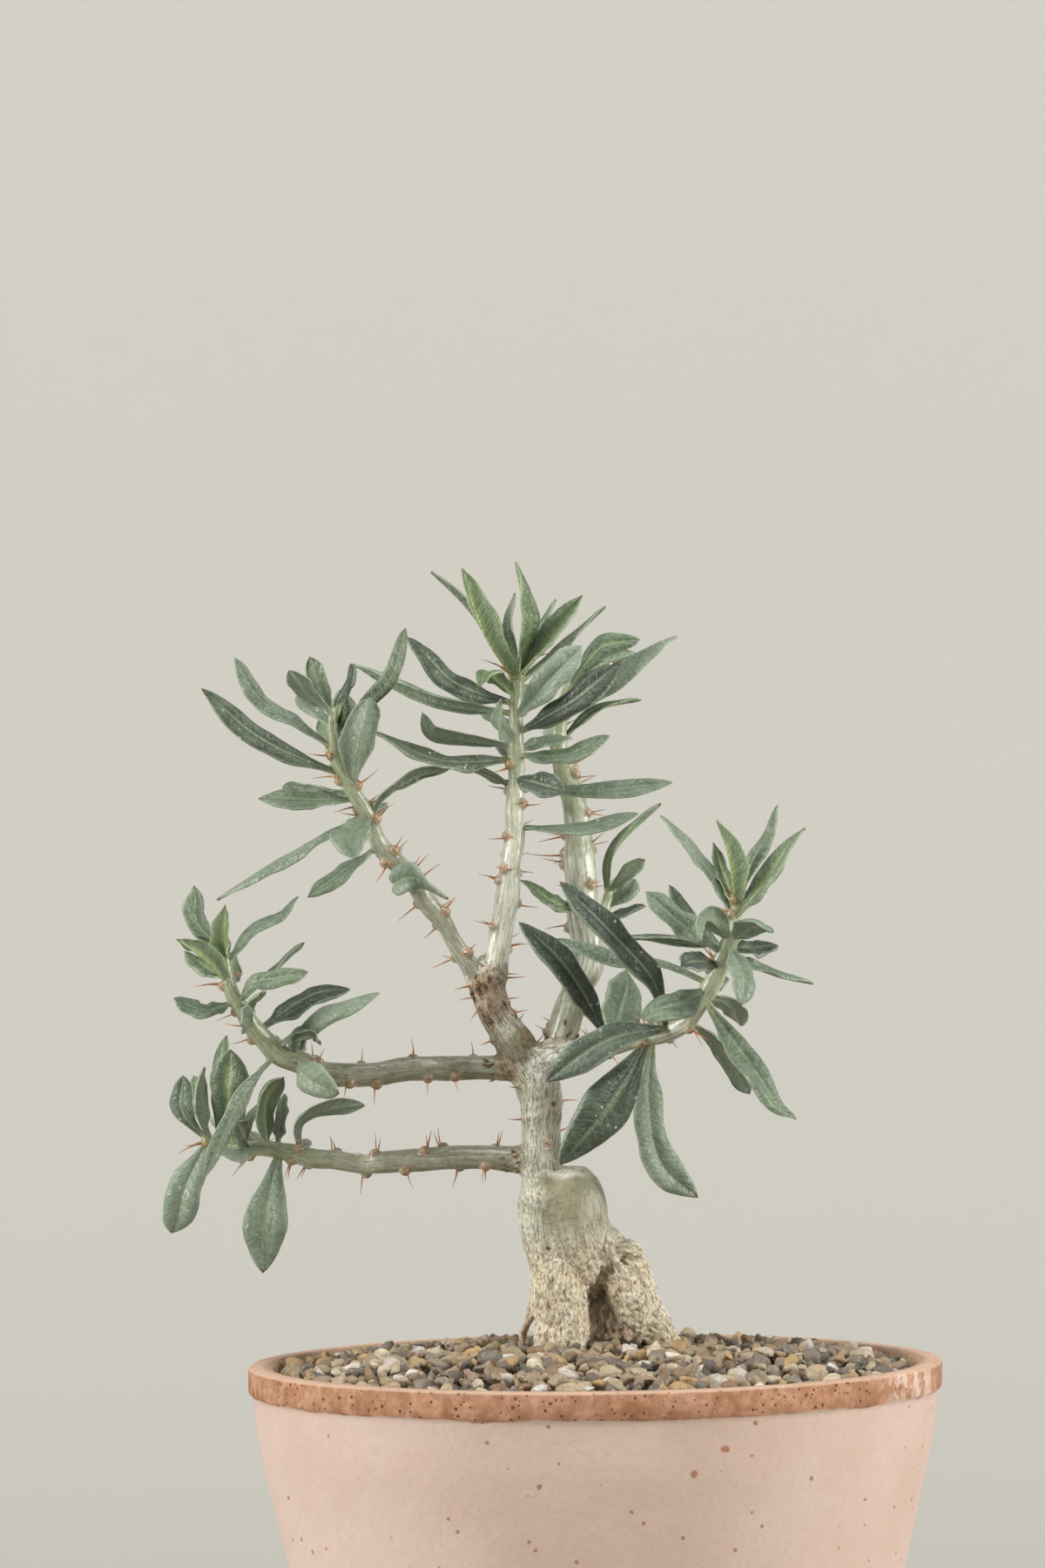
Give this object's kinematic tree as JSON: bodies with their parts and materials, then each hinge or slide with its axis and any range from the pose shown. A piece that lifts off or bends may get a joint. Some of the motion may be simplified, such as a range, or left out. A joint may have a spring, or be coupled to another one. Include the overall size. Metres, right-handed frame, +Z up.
{
  "type": "potted pachypodium bispinosum",
  "caption": "Small thorny succulent with a swollen rooted trunk and leafy branches, growing in a gravel-topped clay pot.",
  "frame": {"origin": "centre of the pot's underside", "axes": "+Z up, +X to the right and -Y to the front as the plant is seen in its picture"},
  "size_m": [0.1685, 0.15, 0.303],
  "materials": {
    "clay": "unglazed matte clay, pale pink body with a bare terracotta band at the rim",
    "soil": "dark gritty planting mix under the gravel",
    "gravel": "loose mixed grit, tan, grey, dark grey and off-white",
    "bark": "rough cream bark below, smooth grey-green skin with fine fissures above",
    "foliage": "glaucous grey-green leaves with pale ribs, on pale grey-green stems with red-brown spines"
  },
  "bodies": {
    "root": {"pot": "clay", "soil": "soil", "gravel": "gravel", "trunk": "bark", "upper_left_branch": "foliage", "middle_branch": "foliage", "rear_branch": "foliage", "right_branch": "foliage", "left_branch": "foliage", "low_branch": "foliage"}
  },
  "joints": []
}
